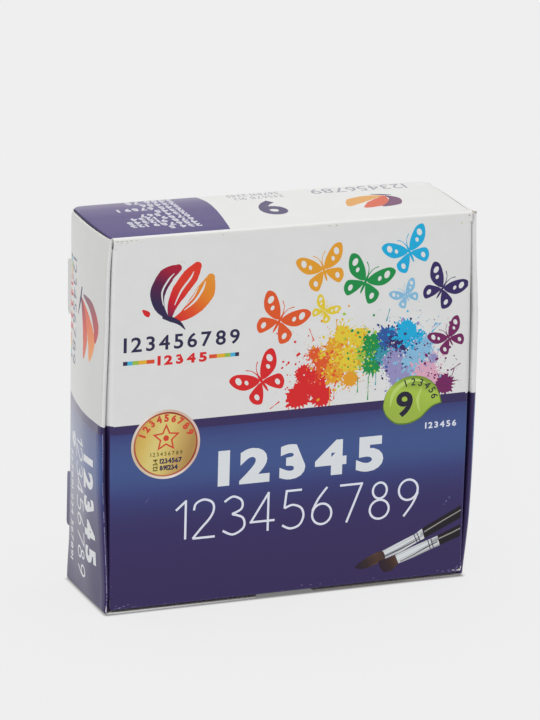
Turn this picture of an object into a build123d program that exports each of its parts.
from build123d import *
import math
import os

os.makedirs("parts", exist_ok=True)

# ------------------------------------------------------------------ driving dimensions, mm
W = 116.0          # carton, width across the side walls at their corners
H = 115.0          # carton, height as it stands on its notched wall
D = 35.0           # carton, front of the lid to back of the base panel
T = 0.5            # board thickness
RIM_GAP = 0.3      # lid's inner face to the tray's rim
SPINE = 1.6        # width of the front ledge of a rolled-over side wall
BOW = 2.7          # how far the front edge of a side wall is pushed out at mid-height

TONGUE = 2.17      # lock tongue, how far it stands out
TONGUE_L = 17.0    # lock tongue, length
TONGUE_A = 5.0     # lock tongue, outward lean in degrees
LOCK_Z = (25.4, 91.6)   # centres of the lock tongues and of the inner walls' tabs

NOTCH_R = 9.4      # thumb notch in the bottom wall
NOTCH_ROUND = 1.2

LID_W = 114.0      # lid panel, full width
LID_Z0 = 1.3       # lower edge of the closed lid above the table
TUCK_DEPTH = 16.0
TUCK_ANGLE = 4.0   # how far past square the tuck flap is folded
EAR_DEPTH = 12.0
EAR_Z = (8.0, 107.0)     # ear at its crease
EAR_TIP = (18.0, 97.0)    # ear at its free edge
EAR_ANGLE = 2.0    # how far past square an ear is folded
CREASE_GAP = 0.3   # clear line beside a crease

FLAP_L = 24.0      # corner flap length
FLAP_TAPER = 3.0

# jars: three rows of three, axes along Y, caps towards the lid
PITCH = 36.85
ROW_Z = (21.5, 58.35, 95.2)
JAR_H = 30.0       # jar with its cap
CAP_R = 18.25
CAP_BORE = 16.7
CAP_H = 10.4
CAP_TOP = 1.2
LINER_R = 15.9
LINER_T = 0.6
BODY_R = 17.75
BODY_H = 18.0      # up to the shoulder
BODY_WALL = 1.0
FLOOR = 1.2
NECK_R = 16.2
NECK_BORE = 15.2
NECK_TOP = 27.6
PAINT_TOP = 24.0
FILM = 0.05        # paint to wall
STAND = 0.3        # jar's foot to the base panel

# ------------------------------------------------------------------ levels that follow from them
TONGUE_Y = TONGUE * math.cos(math.radians(TONGUE_A)) + T / 2 * math.sin(math.radians(TONGUE_A))
YF = -(D + TONGUE_Y) / 2       # front face of the lid
YR = YF + D                    # back face of the base panel
YT = YF + T + RIM_GAP          # the tray's rim
YH = YF + T / 2                # hinge line of every crease on the lid
ZH = H - T / 2                 # hinge line of the lid
XI = W / 2 - T                 # inner face of an outer side wall at its corners


def block(x0, x1, y0, y1, z0, z1):
    """A box between two corners."""
    return Pos((x0 + x1) / 2, (y0 + y1) / 2, (z0 + z1) / 2) * Box(x1 - x0, y1 - y0, z1 - z0)


def bowed(side, a, b, y0, y1, z0, z1):
    """A layer of a side wall, from a to b inside the carton's corner line: straight at the base, bowed out at the rim."""
    xo, xi = side * (W / 2 - a), side * (W / 2 - b)

    def outline(y, bow):
        p = [(xo, y, 0), (xo, y, H), (xi, y, H), (xi, y, 0)]
        if bow:
            up = ThreePointArc(p[0], (xo + side * bow, y, H / 2), p[1])
            down = ThreePointArc(p[2], (xi + side * bow, y, H / 2), p[3])
        else:
            up, down = Line(p[0], p[1]), Line(p[2], p[3])
        return Wire([up, Line(p[1], p[2]), down, Line(p[3], p[0])])

    layer = Solid.make_loft([outline(YR, 0), outline(YT, BOW)], ruled=True)
    reach = W / 2 + BOW + 5
    x0, x1 = (20, reach) if side > 0 else (-reach, -20)
    return block(x0, x1, y0, y1, z0, z1) & layer


def plate_yz(points, x0, x1):
    """A flat plate whose outline is given as (y, z), from x0 to x1."""
    face = make_face(Polyline(*[(x0, y, z) for y, z in points], close=True))
    return extrude(face, amount=x1 - x0, dir=(1, 0, 0))


def rod(axis, centre, radius, start, length):
    """A round rod along X or Z."""
    c = Cylinder(radius, length, align=(Align.CENTER, Align.CENTER, Align.MIN))
    if axis == "X":
        return Pos(start, centre[0], centre[1]) * Rot(0, 90, 0) * c
    return Pos(centre[0], centre[1], start) * c


def write(name, shape):
    shape.label = name
    export_step(shape, f"parts/{name}.step")


# ------------------------------------------------------------------ the tray
base = block(-XI, XI, YR - T, YR, 0, H)
for side in (-1, 1):
    for zc in LOCK_Z:
        xa, xb = sorted((side * (XI + 1), side * (XI - TONGUE)))
        base -= block(xa, xb, YR - T - 1, YR + 1, zc - TONGUE_L / 2 - 0.3, zc + TONGUE_L / 2 + 0.3)
write("base_panel", base)

write("top_wall", block(-XI, XI, YT, YR - T, H - T, H))

bottom = block(-XI, XI, YT, YR - T, 0, T)
bottom -= Pos(0, YT, T / 2) * Cylinder(NOTCH_R, 2 * T)
lips = [e for e in bottom.edges().filter_by(Axis.Z) if abs(e.center().Y - YT) < 1e-3 and abs(e.center().X) < NOTCH_R + 1]
bottom = fillet(lips, NOTCH_ROUND)
write("bottom_wall", bottom)

for side, hand in ((-1, "left"), (1, "right")):
    # outer wall and its front ledge: a thick layer with the inside cut away
    wall = bowed(side, 0, SPINE, YT, YR, 0, H) - bowed(side, T, SPINE + 1, YT + T, YR, 0, H)
    inside = sorted((side * XI, side * (XI - 3)))
    wall -= block(*inside, YR - 2, YR + 1, -1, H + 1)
    # the ledge stops short of the top and bottom walls
    wall -= block(*inside, YT - 1, YT + T + 1, -1, T + 0.05)
    wall -= block(*inside, YT - 1, YT + T + 1, H - T - 0.05, H + 1)
    for zc in LOCK_Z:
        tongue = Box(T, TONGUE + 0.8, TONGUE_L, align=(Align.CENTER, Align.MIN, Align.CENTER))
        far = tongue.edges().filter_by(Axis.X).group_by(Axis.Y)[-1]
        tongue = fillet(far, 1.1)
        tongue = Pos(side * (W / 2 - T / 2), YR, zc) * Rot(0, 0, -side * TONGUE_A) * Pos(0, -0.8, 0) * tongue
        wall += tongue
    write(f"{hand}_outer_wall", wall)

    # inner wall, rolled over at the ledge, with two tabs through the base panel
    inner = bowed(side, SPINE - T, SPINE, YT + T, YR, T + 0.05, H - T - 0.05)
    reach = sorted((side * (W / 2 + 5), side * 40))
    edges = [-1]
    for zc in LOCK_Z:
        edges += [zc - TONGUE_L / 2, zc + TONGUE_L / 2]
    edges.append(H + 1)
    for z0, z1 in zip(edges[0::2], edges[1::2]):
        inner -= block(*reach, YR - T, YR + 1, z0, z1)
    write(f"{hand}_inner_wall", inner)

    # corner flaps, trapped between the two layers
    for top, place in ((True, "top"), (False, "bottom")):
        z0, z1 = (H - T - FLAP_L, H - T) if top else (T, T + FLAP_L)
        flap = bowed(side, T + 0.05, SPINE - T - 0.05, YT + T + 0.3, YR - T, z0, z1)
        root, tip = (z1, z0) if top else (z0, z1)
        y0, y1 = YT + T + 0.3, YR - T
        reach_x = sorted((side * (W / 2 + 5), side * 40))
        outline = [(y0, root), (y0 + FLAP_TAPER, tip), (y1 - FLAP_TAPER, tip), (y1, root)]
        flap = plate_yz(outline, *reach_x) & flap
        write(f"{hand}_{place}_corner_flap", flap)

# ------------------------------------------------------------------ the lid
half = LID_W / 2
x_ear = half - T / 2                      # crease of an ear
z_tuck = LID_Z0 + T / 2                   # crease of the tuck flap
z_low = z_tuck + T / 2 + CREASE_GAP
lid = block(-half, half, YF, YF + T, z_low, ZH)
for side in (-1, 1):
    xa, xb = sorted((side * (half + 1), side * (x_ear - T / 2 - CREASE_GAP)))
    lid -= block(xa, xb, YF - 1, YF + T + 1, EAR_Z[0] - CREASE_GAP, EAR_Z[1] + CREASE_GAP)
lid += rod("X", (YH, ZH), T / 2, -half, LID_W)
write("lid_panel", lid)

tuck_half = half - 1.0
outline = [(-tuck_half, 0), (tuck_half, 0), (tuck_half - 2.0, TUCK_DEPTH), (-tuck_half + 2.0, TUCK_DEPTH)]
plate = extrude(make_face(Polyline(*[(x, y, 0) for x, y in outline], close=True)), amount=T / 2, both=True)
tips = [e for e in plate.edges().filter_by(Axis.Z) if e.center().Y > TUCK_DEPTH - 0.1]
plate = fillet(tips, 6.0)
tuck = Pos(0, YH, z_tuck) * Rot(TUCK_ANGLE, 0, 0) * plate + rod("X", (YH, z_tuck), T / 2, -tuck_half, 2 * tuck_half)
write("lid_tuck_flap", tuck)

for side, hand in ((-1, "left"), (1, "right")):
    outline = [(0, EAR_Z[0]), (EAR_DEPTH, EAR_TIP[0]), (EAR_DEPTH, EAR_TIP[1]), (0, EAR_Z[1])]
    ear = plate_yz(outline, -T / 2, T / 2)
    tips = [e for e in ear.edges().filter_by(Axis.X) if e.center().Y > EAR_DEPTH - 0.1]
    ear = fillet(tips, 4.0)
    ear = Pos(side * x_ear, YH, 0) * Rot(0, 0, side * EAR_ANGLE) * ear
    ear += rod("Z", (side * x_ear, YH), T / 2, EAR_Z[0], EAR_Z[1] - EAR_Z[0])
    write(f"lid_{hand}_ear", ear)

# ------------------------------------------------------------------ the jars
Y_FOOT = YR - T - STAND


def turned(profile):
    """Revolves an outline of (radius, height) about the jar's axis, the height running towards the lid."""
    face = make_face(Polyline(*[(r, h, 0) for r, h in profile], close=True))
    solid = revolve(face, Axis.Y, 360)
    return solid


body = turned([
    (0, 0), (BODY_R - 1.2, 0), (BODY_R, 1.2), (BODY_R, BODY_H - 0.6), (BODY_R - 0.5, BODY_H), (NECK_R + 0.3, BODY_H + 0.6),
    (NECK_R, BODY_H + 0.9), (NECK_R, NECK_TOP - 0.3), (NECK_R - 0.3, NECK_TOP), (NECK_BORE, NECK_TOP), (NECK_BORE, BODY_H - 1.2),
    (BODY_R - BODY_WALL, BODY_H - 2.6), (BODY_R - BODY_WALL, FLOOR + 0.8), (BODY_R - BODY_WALL - 0.8, FLOOR), (0, FLOOR),
])
paint = turned([
    (0, FLOOR + FILM), (BODY_R - BODY_WALL - 0.8 - FILM, FLOOR + FILM), (BODY_R - BODY_WALL - FILM, FLOOR + 0.8 + FILM),
    (BODY_R - BODY_WALL - FILM, BODY_H - 2.6 - FILM), (NECK_BORE - FILM, BODY_H - 1.2 - FILM), (NECK_BORE - FILM, PAINT_TOP),
    (0, PAINT_TOP),
])
liner = turned([(0, JAR_H - CAP_TOP - 0.3 - LINER_T), (LINER_R, JAR_H - CAP_TOP - 0.3 - LINER_T), (LINER_R, JAR_H - CAP_TOP - 0.3), (0, JAR_H - CAP_TOP - 0.3)])
cap = turned([
    (0, JAR_H), (CAP_R - 0.9, JAR_H), (CAP_R, JAR_H - 0.9), (CAP_R, JAR_H - CAP_H), (CAP_BORE, JAR_H - CAP_H),
    (CAP_BORE, JAR_H - CAP_TOP), (0, JAR_H - CAP_TOP),
])

number = 0
for row in (2, 1, 0):
    for col in (-1, 0, 1):
        number += 1
        # height runs along -Y from the foot
        place = Pos(col * PITCH, Y_FOOT, ROW_Z[row]) * Rot(0, 0, 180)
        write(f"jar_{number}_body", place * body)
        write(f"jar_{number}_paint", place * paint)
        write(f"jar_{number}_liner", place * liner)
        write(f"jar_{number}_cap", place * cap)

print("hinge lines, m: y", round(YH / 1000, 6), "lid z", round(ZH / 1000, 6), "ears x", round(x_ear / 1000, 6), "tuck z", round(z_tuck / 1000, 6))
print("front", round(YF, 4), "rear", round(YR, 4), "rim", round(YT, 4), "foot", round(Y_FOOT, 4), "cap top", round(Y_FOOT - JAR_H, 4), "headroom", round(Y_FOOT - JAR_H - YF - T, 4))
